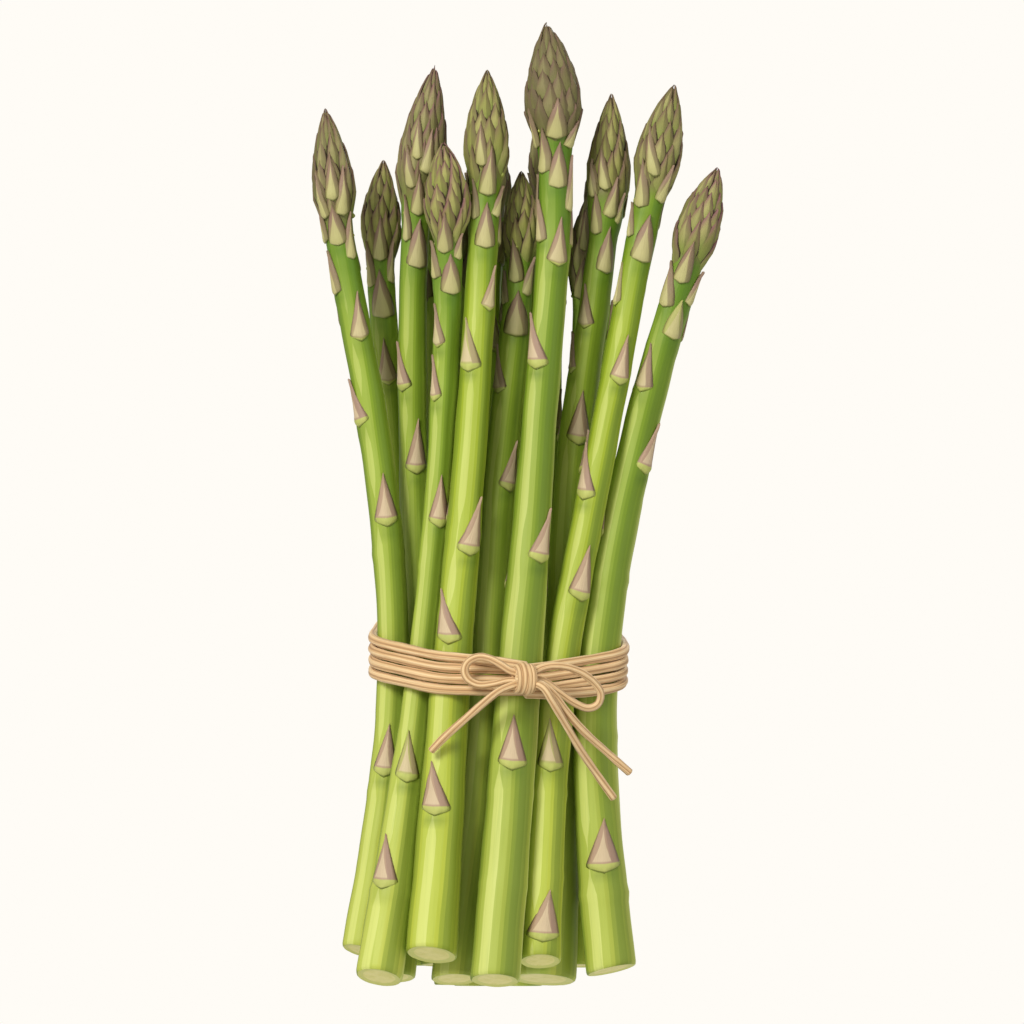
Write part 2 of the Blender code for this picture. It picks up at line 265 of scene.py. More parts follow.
TAIL_LEFT = [
    (-3.7, -0.7, -1.8), (-6.6, -0.6, -3.1), (-10.2, 1.4, -5.9), (-14.9, 3.9, -9.9), (-19.2, 5.7, -13.7),
    (-22.4, 6.8, -16.9),
]
TAIL_RIGHT = [
    (3.9, -2.5, -2.0), (6.2, -1.9, -5.4), (9.5, 1.6, -11.0), (12.9, 5.6, -16.7), (16.9, 9.4, -22.5),
    (20.8, 12.4, -28.0),
]
TAIL_SPARE = [
    (3.7, -0.4, -1.4), (6.6, -0.1, -3.8), (9.8, 1.7, -8.0), (13.6, 4.7, -12.3), (18.4, 8.0, -16.6),
    (24.6, 11.0, -22.0),
]
BOW = {
    "bow_cord_left": (
        [(-0.8, 0.6, 1.0), *LOOP_LEFT, (0.3, 0.4, -1.0), *TAIL_RIGHT], ["bow_loop_left", "twine_tail_right"],
    ),
    "bow_cord_right": (
        [(0.8, 0.6, 1.2), *LOOP_RIGHT, (0.0, 0.5, -0.9), *TAIL_LEFT], ["bow_loop_right", "twine_tail_left"],
    ),
    "bow_cord_spare": ([(0.5, 0.0, -0.4), *TAIL_SPARE], ["twine_tail_spare"]),
}

# %% Make the bow's cords
raffia = bpy.data.materials.new("raffia")
for seed, (name, (route, nodes)) in enumerate(BOW.items()):
    line = smooth_route([KNOT_CENTRE + p for p in route], CORD_STEP)
    work = Workpiece(name)
    sweep_raffia(work, line, BOW_RADIUS, seed + 40)
    cord = work.make([raffia], nodes)
    print(name, "length, mm:", round(length_of(line), 1))

# %% [markdown]
# Every spear follows its own solid. Cutting the solid level by level gives the middle of each cut and how far its
# edge is from there: the stalk's line and its thickness. Smoothing the line takes out the corners between the
# solid's few rings.

# %% Measure a spear from its solid
LEVEL_STEP = 0.5
LINE_SMOOTHING = 5.0
LONGEST_HEAD = 40.0
LONGEST_NECK = 12.5  # from the neck up to the widest of the head
SOLID_SIDES = 12  # corners on each ring of a spear's solid
FOOT_LEVELS = 8  # the lowest ones, which say how the stalk runs on under them
EDGE_PERCENT = 85  # of a cut's points are nearer to the middle than what counts as its edge
SPEARS = 19


def smoothed(values, reach):
    """A running mean with a bell-shaped weight, whose ends carry on straight."""
    half = int(3 * reach / LEVEL_STEP)
    weight = np.exp(-0.5 * (np.arange(-half, half + 1) * LEVEL_STEP / reach) ** 2)
    before = 2 * values[0] - values[half:0:-1]
    after = 2 * values[-1] - values[-2:-half - 2:-1]
    return np.convolve(np.concatenate([before, values, after]), weight / weight.sum(), "valid")


class Spear:
    """Where a spear's stalk runs and how thick it is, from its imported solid."""

    def __init__(self, number):
        self.number = number
        self.node = f"spear_{number:02d}"
        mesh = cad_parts[self.node].data
        points = np.array([v.co for v in mesh.vertices]) / MM
        edges = np.array([e.vertices for e in mesh.edges])
        corners = np.unique(points.round(3), axis=0)
        foot = corners[np.argsort(corners[:, 2])][:SOLID_SIDES]
        self.foot = foot.mean(axis=0)
        normal = np.linalg.svd(foot - self.foot)[2][2]
        self.cut = normal * np.sign(normal[2])
        self.top = points[:, 2].max()
        low = foot[:, 2].max() + 1.0
        self.levels = np.arange(low, self.top - 0.3, LEVEL_STEP)
        middles, radii = [], []
        for level in self.levels:
            a, b = points[edges[:, 0]], points[edges[:, 1]]
            crosses = (a[:, 2] - level) * (b[:, 2] - level) < 0
            a, b = a[crosses], b[crosses]
            where = a + (b - a) * ((level - a[:, 2]) / (b[:, 2] - a[:, 2]))[:, None]
            middle = where.mean(axis=0)
            middles.append(middle)
            radii.append(np.percentile(np.linalg.norm(where - middle, axis=1), EDGE_PERCENT))
        middles = np.array(middles)
        self.middles = np.stack([smoothed(middles[:, k], LINE_SMOOTHING) for k in (0, 1)], axis=1)
        self.radii = np.array(radii)
        widest = self.levels[np.argmax(np.where(self.levels > self.top - LONGEST_HEAD, self.radii, 0))]
        below = (self.levels > widest - LONGEST_NECK) & (self.levels <= widest)
        self.neck = self.levels[np.argmin(np.where(below, self.radii, np.inf))]
        self.head = self.top - self.neck

    def tone(self, crowd):
        return np.stack([crowd, *[np.full_like(crowd, t) for t in self.tint]], axis=-1)

    def middle(self, height):
        """The middle of the stalk at a height. Under the lowest level it runs on straight."""
        height = np.asarray(height, float)
        slope = (self.middles[FOOT_LEVELS] - self.middles[0]) / (FOOT_LEVELS * LEVEL_STEP)
        under = np.minimum(height - self.levels[0], 0)[..., None] * slope
        x, y = (np.interp(height, self.levels, self.middles[:, k]) for k in (0, 1))
        return np.stack([x, y, height], axis=-1) + np.concatenate([under, 0 * under[..., :1]], axis=-1)

    def radius(self, height):
        above = np.clip((np.asarray(height) - self.levels[-1]) / (self.top - self.levels[-1] + 1e-6), 0, 1)
        return np.interp(height, self.levels, self.radii) * (1 - above)

    def skin(self, height, turn, lift):
        """A point on the skin: a height, a turn in radians from the front to the right, and a lift outwards."""
        height, turn, lift = np.broadcast_arrays(np.asarray(height, float), turn, lift)
        middle = self.middle(height)
        ahead = unit(self.middle(height + 1.0) - self.middle(height - 1.0))
        right = unit(np.array([1.0, 0, 0]) - ahead * ahead[..., :1])
        back = np.cross(ahead, right)
        out = right * np.sin(turn)[..., None] - back * np.cos(turn)[..., None]
        return middle + out * np.maximum(self.radius(height) + lift, 0.04)[..., None]


spears = [Spear(number) for number in range(1, SPEARS + 1)]
for spear in spears[:3]:
    print(spear.node, "neck and top, mm:", round(float(spear.neck), 1), round(float(spear.top), 1))

# %% [markdown]
# Asparagus sets its leaves by the golden angle, 137.5 degrees from one to the next: far apart on the stalk, close
# together at the neck, and packed like tiles on the head. The leaves on the front are listed one by one, because
# they make this bundle what it is. Each row gives the height of the leaf's lip, its turn from the front to the
# right in degrees, its length, the turn of its point, and its width. All the others are set by the golden angle.

# %% The leaves on the front
FRONT_LEAVES = {
    1: [(188.3, -5, 11, 0, 2.9), (184.5, 20, 12.2, 35, 3.1), (184.3, -40, 11.8, -50, 2.4),
        (177.6, -10, 10.1, -10, 4.1), (178.6, -75, 8.5, -55, 2.2), (173.8, 35, 11.7, 45, 2.6),
        (166.2, -60, 10.9, -65, 3.1), (154.2, 10, 12.2, 30, 4.6), (134.3, -55, 12.2, -80, 5.5),
        (109.9, 5, 13.1, 10, 5.8), (49.7, -10, 13.1, -5, 5.8)],
    2: [(174.9, 0, 11.2, 0, 3.1), (168.8, -45, 11.2, -45, 2.6), (169.5, 45, 10.5, 40, 2.2),
        (161.1, 5, 12.1, -5, 4.8)],
    3: [(198, -10, 10.9, -20, 2.4), (194.8, 15, 11.3, 20, 2.9), (191.1, -20, 10.6, -40, 2.6),
        (184.9, 5, 10.2, 0, 2.9), (178.7, -35, 11.2, -40, 2.2), (172.4, 20, 12, 15, 4.8),
        (142.8, -40, 12.4, -75, 4.6), (122.9, 10, 13.7, 20, 5.3)],
    4: [(175.5, -15, 10.5, -5, 3.4), (173.8, 45, 6.6, 50, 2.2), (169.1, -60, 9.3, -80, 3.4),
        (165.5, 20, 10.1, 10, 4.6), (152.4, -35, 11.1, -60, 3.6), (139.4, -40, 11.6, -65, 3.4),
        (109.4, 20, 13, 10, 5.3), (48.1, 0, 12.8, -15, 5.8), (22.4, -25, 13.4, -40, 6.7)],
    5: [(195.4, -10, 11.2, -15, 2.6), (188.5, 10, 12, 15, 3.6), (182.8, -35, 10, -40, 2.2),
        (183.6, 50, 8.1, 80, 2.4), (175.9, 10, 11.3, 10, 4.3), (160.9, 35, 11.5, 55, 3.8),
        (146.1, -25, 13.4, -50, 5.8), (102.4, 25, 14.7, 55, 6.2), (81, -15, 13.5, -60, 6.2),
        (40.1, -15, 13.2, -35, 7.2)],
    6: [(168.4, -15, 11, -25, 3.4), (165.5, 35, 9.8, 55, 2.6), (163.1, -60, 8.7, -80, 2.4),
        (155.5, 5, 11.4, 0, 5.5), (141.4, -40, 12.6, -80, 4.3), (118.1, 35, 12.9, 50, 5.3)],
    7: [(202.2, 5, 10, 10, 4.3), (200.1, -70, 10, -55, 2.4), (200, 50, 6.7, 65, 2.9),
        (194, -45, 11.2, -30, 3.6), (190.4, 10, 11.3, 15, 4.3), (184.8, 60, 14, 70, 2.4),
        (177.3, -50, 10.8, -65, 3.1), (171.6, 20, 12.2, 25, 5.3), (146.6, -25, 14.1, -75, 5.8),
        (100.5, 35, 13.9, 65, 6.2), (50.9, 0, 13.4, -5, 6.7)],
    8: [(190.8, -5, 10.8, -25, 2.6), (189, -40, 9.6, -50, 2.4), (184.3, 15, 10.1, 25, 3.1),
        (183.1, 45, 7.7, 50, 1.7), (180.1, -30, 10.7, -30, 3.1), (171.1, 25, 11.4, 20, 3.8),
        (157.3, -25, 11.1, -50, 4.3), (146.3, -50, 9.9, -80, 2.4), (129.6, 10, 13.4, 5, 5.8)],
    9: [(176.8, -10, 11, -20, 2.2), (165.4, -25, 10.2, -10, 3.1)],
    10: [(193.2, 0, 12.3, -45, 2.9), (185.6, -30, 11.5, -35, 3.4), (187.6, 45, 9.5, 45, 2.9),
         (178.4, -50, 8.6, -70, 1.9), (173, 20, 11.6, 15, 5), (161.9, -55, 10.8, -60, 2.6),
         (143.5, 20, 12.4, 20, 4.8), (115.4, -30, 14.1, -80, 5.3), (91.9, 30, 13.7, 25, 6.2),
         (50.7, 0, 12.9, -15, 6.2), (10.3, 5, 12.7, 20, 8.2)],
    11: [(168.2, -5, 10.4, 0, 3.4), (162, -35, 10.8, -60, 3.8), (163.8, 55, 8.8, 80, 2.4),
         (155.4, 25, 9.5, 20, 4.3), (141.7, -30, 11.8, -40, 4.8), (123.1, 50, 12.9, 65, 5.8),
         (26.8, 5, 13.2, 15, 8.2)],
}
PALE_LEAVES = ((4, 48.1), (10, 50.7), (5, 146.1), (10, 161.9), (11, 155.4))  # spear and height of the greener ones
print("leaves on the front:", sum(map(len, FRONT_LEAVES.values())))


# %% Set the leaves of one spear
GOLDEN_TURN = math.radians(137.5)
BAND_ZONE = (56.0, 92.0)  # no leaf sits under the twine
FRONT_SIDE = math.radians(100)  # how far round from the front the listed leaves go
HALF_HIDDEN, HIDDEN_BELOW = (2, 9), 150.0  # spears whose lower part is behind others
LEAF_ROOM = (7.0, 0.9)  # up the stalk in millimetres, and round it in radians


def part_turn(turn):
    """A turn brought to between half a turn left and half a turn right."""
    return (turn + math.pi) % (2 * math.pi) - math.pi


def leaves_of(spear):
    """Rows of height, turn, length, turn of the point and width, in millimetres and radians."""
    chance = random.Random(spear.number)
    listed = [
        (height, math.radians(turn), length, math.radians(tip), width)
        for height, turn, length, tip, width in FRONT_LEAVES.get(spear.number, [])
    ]
    rows = list(listed)
    height, turn = 14 + chance.uniform(0, 12), chance.uniform(0, 6.28)
    while height < spear.neck + 2:
        up = height / spear.neck
        length = 13.2 - 2.2 * up + chance.uniform(-0.7, 0.7)
        width = 1.25 * float(spear.radius(height)) * chance.uniform(0.9, 1.1)
        facing = part_turn(turn)
        behind_others = not listed or (spear.number in HALF_HIDDEN and height < HIDDEN_BELOW)
        banded = BAND_ZONE[0] < height < BAND_ZONE[1]
        crowded = any(
            abs(height - h) < LEAF_ROOM[0] and abs(part_turn(facing - t)) < LEAF_ROOM[1] for h, t, *_ in rows
        )
        if (abs(facing) > FRONT_SIDE or behind_others) and not banded and not crowded:
            rows.append((height, facing, length, facing + chance.uniform(-0.3, 0.3), width))
        height += 5.0 + 17.0 * max(0.0, 1 - up) ** 0.8 * (1 if up < 0.86 else 0.4) + chance.uniform(-1, 1)
        turn += GOLDEN_TURN + chance.uniform(-0.15, 0.15)
    return rows


leaves = {spear.number: leaves_of(spear) for spear in spears}
print("leaves on the stalks:", sum(map(len, leaves.values())))

# %% [markdown]
# The stalk is a round stem, slightly ribbed, a little swollen under each leaf, and rounded where it was cut. Where
# stalks stand close together, the bundle shades them: there the skin is painted a lighter green, as painted light,
# while the leaves and head scales are painted darker, as painted shade. To find those places, each point looks
# outwards along a few directions and counts how many of them end on the bundle's own solids. A painted shadow also
# lies on the skin just under each leaf's lip.

# %% Grow a stalk
SKIN, LEAF, SCALE, CUT, BUD = range(5)
STALK_SIDES = 30
STALK_STEP = 2.2
CORE_TOP = 0.96  # how far up the head the stalk goes on inside it
SEES_AS_FAR_AS = 40.0
LOOKS = [(a, b) for b in (-0.45, 0.15, 0.8) for a in (-1.05, -0.5, 0.0, 0.5, 1.05)]

corners, triangles = [], []
for node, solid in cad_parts.items():
    if not node.startswith("spear"):
        continue
    solid.data.calc_loop_triangles()
    first = len(corners)
    corners.extend(v.co / MM for v in solid.data.vertices)
    triangles.extend(tuple(first + k for k in t.vertices) for t in solid.data.loop_triangles)
all_spears = BVHTree.FromPolygons(corners, triangles)
print("triangles on the spears' solids:", len(triangles))


def crowding(points, middle):
    """The share of outward looks that end on a spear: 0 in the open, near 1 deep in the bundle."""
    out = points - middle
    out[:, 2] *= 0.2
    out /= np.linalg.norm(out, axis=1)[:, None] + 1e-9
    shares = []
    for point, (x, y, z) in zip(points, out):
        hits = 0.0
        for aside, above in LOOKS:
            c, s = math.cos(aside), math.sin(aside)
            look = Vector((x * c - y * s, x * s + y * c, above + z)).normalized()
            start = Vector(point) + Vector((x, y, z)) * 0.9
            distance = all_spears.ray_cast(start, look, SEES_AS_FAR_AS)[3]
            hits += 0 if distance is None else 1 - 0.6 * distance / SEES_AS_FAR_AS
        shares.append(hits / len(LOOKS))
    return np.array(shares)


def grow_stalk(work, spear):
    core_top = spear.neck + CORE_TOP * spear.head
    rows = np.linspace(spear.foot[2] + 2.5, core_top, int((core_top - spear.foot[2]) / STALK_STEP))
    height, turn = np.meshgrid(rows, full_circle(STALK_SIDES), indexing="ij")
    phase = spear.number * 1.7
    lift = 0.05 * np.sin(9 * turn + phase) + 0.04 * np.sin(5 * turn + 2 * phase)
    lift += 0.06 * np.sin(0.21 * height + 2 * turn + phase) + 0.05 * np.sin(0.37 * height - turn)
    gleam, shadow_under_leaf = np.ones_like(height), np.zeros_like(height)
    for leaf_height, leaf_turn, length, *_ in leaves[spear.number]:
        apart = part_turn(turn - leaf_turn)
        swell = np.exp(-(((height - leaf_height + 0.5) / 3.0) ** 2)) * np.exp(-((apart / 0.75) ** 2))
        lift += 0.32 * swell
        # The painted highlight pinches out near the leaf.
        near = np.clip(1.7 - np.abs(height - leaf_height - 0.3 * length) / 5.0, 0, 1)
        gleam = np.minimum(gleam, 1 - near * np.exp(-((apart / 1.1) ** 4)))
        # A painted shadow on the skin just under the leaf's lip.
        below = np.exp(-(((height - leaf_height + 0.8) / 1.3) ** 2)) * np.exp(-((apart / 0.55) ** 4))
        shadow_under_leaf = np.maximum(shadow_under_leaf, 0.5 * below)
    up = (height - spear.neck) / spear.head
    sunk = np.clip(up / 0.25, 0, 1)
    lift -= sunk * np.minimum(0.35 + 0.06 * spear.radius(height), 0.3 * spear.radius(height))
    rings = spear.skin(height, turn, lift)
    place = np.stack([np.sin(turn), -np.cos(turn), height / 10], axis=-1)
    zone = np.stack([gleam, height / spear.neck, shadow_under_leaf], axis=-1)
    crowd = crowding(rings.reshape(-1, 3), spear.middle(height).reshape(-1, 3)).reshape(height.shape)
    tone = spear.tone(crowd)
    direction = spear.middle(spear.foot[2] + 4) - spear.middle(spear.foot[2] + 2)
    edge = rings[0]
    drop = ((edge - spear.foot) @ spear.cut) / (direction @ spear.cut)
    edge = edge - direction * drop[:, None]
    centre = edge.mean(axis=0)
    bevel = [(0.93, 0.0), (0.98, 0.12), (1.0, 0.4)]  # how far out, and how far up
    bevel = np.array([centre + (edge - centre) * out + direction * rise for out, rise in bevel])
    rings = np.concatenate([bevel, rings])
    place, zone, tone = (np.concatenate([a[:1]] * 3 + [a]) for a in (place, zone, tone))
    top = (spear.middle(core_top + 0.2), (0, 0, core_top / 10), (1, 1, 0), (0, *spear.tint))
    work.stack(rings, place, zone, tone, SKIN, end=top)
    return edge, centre


# %% [markdown]
# The cut end shows what is under the skin: a pale ring of tougher rind, a wet yellow-green middle, and dots where
# the plant's vessels were cut through. The face is slightly hollow, because the soft middle dries back first.


# %% Close a stalk with its cut end
def cut_end(work, spear, edge, centre):
    shares = (0.93, 0.90, 0.86, 0.80, 0.62, 0.42, 0.2)
    hollow = (0.0, 0.02, 0.16, 0.20, 0.26, 0.30, 0.32)
    rings = np.array([centre + (edge - centre) * s + spear.cut * h for s, h in zip(shares, hollow)])
    radius = float(np.linalg.norm(edge - centre, axis=1).mean())
    place = (rings - centre) / radius
    zone = np.array([[(s, 0.0, 0.0)] * len(edge) for s in shares])
    middle = (centre + spear.cut * 0.32, (0, 0, 0), (0, 0, 0), (0, *spear.tint))
    work.stack(rings, place, zone, (0, *spear.tint), CUT, end=middle)


# %% [markdown]
# A scale leaf is a small papery triangle that lies on the stalk. It starts in a fleshy lip, is thickest there, and
# thins towards its point, which stands off the stalk a little. Neck scales are the same leaf with rounder
# shoulders, and the head's are tucked in at the bottom, so that each covers the foot of the next one up. So one
# function makes all of them, and a few curves say how full, how high and how tucked each kind is.

# %% Shape a scale
OUTER_POINTS, INNER_POINTS = 9, 3  # across a scale's outer and inner face


def curve(pairs, at):
    xs, ys = zip(*pairs)
    return np.interp(at, xs, ys)


KINDS = {
    "leaf": {
        "outline": [(0, 0.78), (0.04, 0.93), (0.1, 1), (0.16, 0.96), (0.4, 0.7), (0.65, 0.4), (0.85, 0.17), (1, 0)],
        "lift": [(0, 0.40), (0.05, 0.85), (0.12, 0.95), (0.2, 0.72), (0.5, 0.56), (0.8, 0.45), (1, 0.62)],
        "edge": 0.82, "notch": 1.35, "thick": 0.5,
        "rows": [0, 0.04, 0.1, 0.16, 0.24, 0.36, 0.5, 0.64, 0.78, 0.9, 0.97],
    },
    "neck": {
        "outline": [(0, 0.92), (0.04, 0.98), (0.1, 1), (0.3, 0.94), (0.5, 0.77), (0.7, 0.5), (0.88, 0.2), (1, 0)],
        "lift": [(0, 0.6), (0.04, 0.85), (0.12, 0.95), (0.3, 0.85), (0.6, 0.8), (0.85, 0.7), (1, 0.8)],
        "edge": 0.80, "notch": 0.85, "thick": 0.55,
        "rows": [0, 0.04, 0.1, 0.16, 0.26, 0.4, 0.55, 0.7, 0.83, 0.93, 0.98],
    },
    "head": {
        "outline": [(0, 0.62), (0.2, 0.88), (0.38, 1.0), (0.55, 0.9), (0.72, 0.62), (0.87, 0.29), (1, 0)],
        "lift": [(0, -1.2), (0.2, -0.4), (0.45, 0.2), (0.7, 0.48), (0.9, 0.44), (1, 0.3)],
        "edge": 0.0, "notch": 0.3, "thick": 0.4,
        "rows": [0, 0.14, 0.28, 0.42, 0.55, 0.68, 0.8, 0.9, 0.96],
    },
}


def lay_scale(
    work, spear, kind, height, turn, length, tip_turn, width, chance, bow=0.0, finish=LEAF, lift_scale=1.0
):
    """One scale on a spear. bow rounds it across, in millimetres at its edges."""
    shape = KINDS[kind]
    v = np.array(shape["rows"])[:, None]
    half = 0.5 * width * curve(shape["outline"], v)

    def face(across, more_lift, more_rise):
        lift = lift_scale * curve(shape["lift"], v) * (1 - shape["edge"] * np.abs(across) ** 2.6) - bow * across**2
        lift = lift + more_lift
        rise = height + length * v + shape["notch"] * np.abs(across) ** 1.15 * (1 - v) ** 4 + more_rise
        round_it = np.maximum(spear.radius(rise) + np.maximum(lift, 0), 0.9)
        return spear.skin(rise, turn + (tip_turn - turn) * v + across * half / round_it, lift)

    u = np.linspace(-1, 1, OUTER_POINTS)[None, :]
    w = np.linspace(0.8, -0.8, INNER_POINTS)[None, :]
    midrib = 0.10 * np.exp(-((u / 0.22) ** 2)) * (v > 0.1)
    outer = face(u, midrib, 0.0)
    inner = face(w, -shape["thick"] * (1 - 0.5 * v), 0.15 * (1 - v))
    rings = np.concatenate([outer, inner], axis=1)
    across = np.concatenate([u, w], axis=1) + 0 * v
    up = np.broadcast_to(v, across.shape)
    zone = np.stack([across, up, np.full_like(up, chance)], axis=-1)
    up_spear = height / spear.neck
    place = np.stack([across * width * 0.5, up * length, np.full_like(up, up_spear)], axis=-1)
    middle_row = outer[len(v) // 2]
    ends = crowding(middle_row[[1, OUTER_POINTS // 2, -2]], spear.middle(middle_row[:3, 2]))
    crowd = np.interp(across, (-0.7, 0.0, 0.7), ends)
    tone = spear.tone(crowd)
    top_lift = lift_scale * curve(shape["lift"], 1.0) - 0.1
    tip = (spear.skin(height + length, tip_turn, top_lift), (0, length, up_spear), (0, 1, chance), tone[-1, 0])
    foot = (rings[0].mean(axis=0), (0, 0, up_spear), (0, 0, chance), tone[0, 0])
    work.stack(rings, place, zone, tone, finish, start=foot, end=tip)


# %% [markdown]
# The head is a bud. Its scales follow the golden angle up to the tip, each shorter and narrower than the one
# before. The lowest ones gape a little, and small pale side buds show in the gaps behind them.

# %% Build a head
HEAD_SCALES = 44
USUAL_GIRTH = 4.9
SIDE_BUDS = 6


def build_head(work, spear):
    chance = random.Random(100 + spear.number)
    turn = chance.uniform(0, 6.28)
    girth = float(np.max(spear.radius(np.linspace(spear.neck, spear.top, 20))))
    # A fatter head has more scales, not larger ones.
    count = round(HEAD_SCALES * max(girth / USUAL_GIRTH, 1.0) ** 1.4)
    small = math.sqrt(HEAD_SCALES / count)
    for k in range(count):
        up = k / (count - 1)
        base = spear.neck + spear.head * (-0.06 + 0.84 * up**0.92)
        length = small * spear.head * (0.50 - 0.24 * up) * chance.uniform(0.86, 1.12)
        length = min(length, spear.top - 0.1 - base)
        reach = float(spear.radius(base + 0.45 * length))
        width = max(small * reach * (0.98 - 0.05 * up) * chance.uniform(0.88, 1.12), 1.2)
        lay_scale(
            work, spear, "head", base, turn, length, turn + chance.uniform(-0.1, 0.1), width, chance.random(),
            bow=0.55 * (1 - 0.6 * up), finish=SCALE, lift_scale=1 - 0.75 * up,
        )
        turn += GOLDEN_TURN + chance.uniform(-0.1, 0.1)
    for k in range(SIDE_BUDS):
        height = spear.neck + spear.head * chance.uniform(-0.04, 0.22)
        side_bud(work, spear, height, turn + k * GOLDEN_TURN, chance.uniform(0.4, 0.6), chance.random())


def side_bud(work, spear, height, turn, size, chance):
    """A small egg-shaped bud that sits on the stem, behind a scale."""
    v = np.linspace(0.06, 0.94, 6)[:, None]
    a = full_circle(8)[None, :]
    girth = size * np.sin(np.pi * v**0.8)
    lean = size * 0.1
    rise = height + 2.6 * size * v + 0 * a
    across = girth * np.cos(a)
    out = lean + girth * np.sin(a)
    rings = spear.skin(rise, turn + across / np.maximum(spear.radius(rise), 1.0), out - 0.35)
    zone = np.stack([np.cos(a) + 0 * v, v + 0 * a, np.full(rings.shape[:2], chance)], axis=-1)
    ends = [
        (spear.skin(height + 2.6 * size * s, turn, lean - 0.35), (0, 0, 0), (0, s, chance), (0, *spear.tint))
        for s in (0.0, 1.0)
    ]
    work.stack(rings, zone, zone, (0, *spear.tint), BUD, *ends)


# %% [markdown]
# ## Finishes
# The finishes are node trees. To write their sums as sums, a small class wraps a socket and turns +, - and * into
# Math nodes. Every other node comes from one method, which takes its type, its settings and its sockets' values.

# %% Write node trees as expressions


class Wire:
    """A socket's value in a finish."""

    def __init__(self, finish, socket):
        self.finish, self.socket = finish, socket

    def __add__(self, other):
        return self.finish.maths("ADD", self, other)

    def __sub__(self, other):
        return self.finish.maths("SUBTRACT", self, other)

    def __rsub__(self, other):
        return self.finish.maths("SUBTRACT", other, self)

    def __mul__(self, other):
        return self.finish.maths("MULTIPLY", self, other)

    def __abs__(self):
        return self.finish.maths("ABSOLUTE", self)

    __radd__, __rmul__ = __add__, __mul__

    def over(self, low, high):
        """0 below low, 1 above high, and a smooth step between."""
        settings = {"interpolation_type": "SMOOTHSTEP"}
        return self.finish.node("ShaderNodeMapRange", settings, {"Value": self, "From Min": low, "From Max": high})


class Finish:
    """A material made from expressions."""

    def __init__(self, name):
        self.material = bpy.data.materials.get(name) or bpy.data.materials.new(name)
        self.material.use_nodes = True
        self.tree = self.material.node_tree
        self.shader = self.tree.nodes["Principled BSDF"]

    def feed(self, socket, value):
        """Links a socket to a value that varies, or sets it."""
        if isinstance(value, Wire):
            self.tree.links.new(value.socket, socket)
        else:
            socket.default_value = value

    def node(self, kind, settings=None, sockets=(), output=0):
        made = self.tree.nodes.new(kind)
        for key, value in (settings or {}).items():
            setattr(made, key, value)
        named = sockets.items() if isinstance(sockets, dict) else enumerate(sockets)
        for key, value in named:
            self.feed(made.inputs[key], value)
        return Wire(self, made.outputs[output])

    def maths(self, operation, *values):
        return self.node("ShaderNodeMath", {"operation": operation}, values)

    def note(self, name):
        """The three numbers that the mesh notes under a name."""
        whole = self.node("ShaderNodeAttribute", {"attribute_name": name}, output="Vector")
        return [self.node("ShaderNodeSeparateXYZ", None, [whole], k) for k in range(3)]

    def vector(self, x, y, z):
        return self.node("ShaderNodeCombineXYZ", None, [x, y, z])

    def grain(self, where, scale, detail=2.0, roughness=0.5):
        return self.node(
            "ShaderNodeTexNoise", None, {"Vector": where, "Scale": scale, "Detail": detail, "Roughness": roughness}
        )

    def blend(self, share, first, second):
        """Mixes two colours. A share below 0 or above 1 counts as 0 or 1."""
        settings = {"data_type": "RGBA", "clamp_factor": True}
        return self.node("ShaderNodeMix", settings, {0: share, 6: first, 7: second}, 2)

    def coats(self, base, *layers):
        """Coats of colour over a base, each with the share of it that shows."""
        for share, colour in layers:
            base = self.blend(share, base, colour)
        return base

    def bump(self, height, strength, distance):
        return self.node("ShaderNodeBump", None, {"Strength": strength, "Distance": distance, "Height": height})

    def lay_on(self, **sockets):
        for key, value in sockets.items():
            self.feed(self.shader.inputs[key.replace("_", " ")], value)
        print(self.material.name, "has nodes:", len(self.tree.nodes))


def paint(red, green, blue):
    """A colour from a maker's swatch, 0 to 255, as the light it reflects."""
    return (*[((c / 255 + 0.055) / 1.055) ** 2.4 for c in (red, green, blue)], 1.0)


# %% [markdown]
# Fresh skin is waxy and lime green, yellower towards the foot where the soil shaded it. Over it lie lengthwise
# bands of painted highlight and painted shade. The turn round the stalk, with a little slow noise along it, places
# three pale bands of painted highlight, one at the front left where the key lamp falls, and three deep bands of
# painted shade, one just right of the front. A narrow step gives them crisp borders, and the palest painted
# highlights pinch out at each leaf.

# %% The skin of the stalk
skin = Finish("asparagus_skin")
px, py, pz = skin.note("place")
gleam, up, under = skin.note("zone")
crowd, sunny, violet = skin.note("tone")
waver = skin.grain(skin.vector(violet * 31.0, sunny * 17.0, pz * 0.16), 1.0, 1.0)
turn = skin.maths("ARCTAN2", px, py * -1.0)
lit_side_turn = turn + (waver - 0.5) * 0.9 + (violet - 0.5) * 0.35 + 0.42


def bands(middle, half_width):
    """Painted highlight or shade in lengthwise bands, three round the stalk with crisp borders: 1 inside, 0
    outside.
    """
    third = 2 * math.pi / 3
    wrapped = skin.maths("WRAP", lit_side_turn - middle, third / 2, -third / 2)
    return (half_width - abs(wrapped)).over(0.0, 0.035)


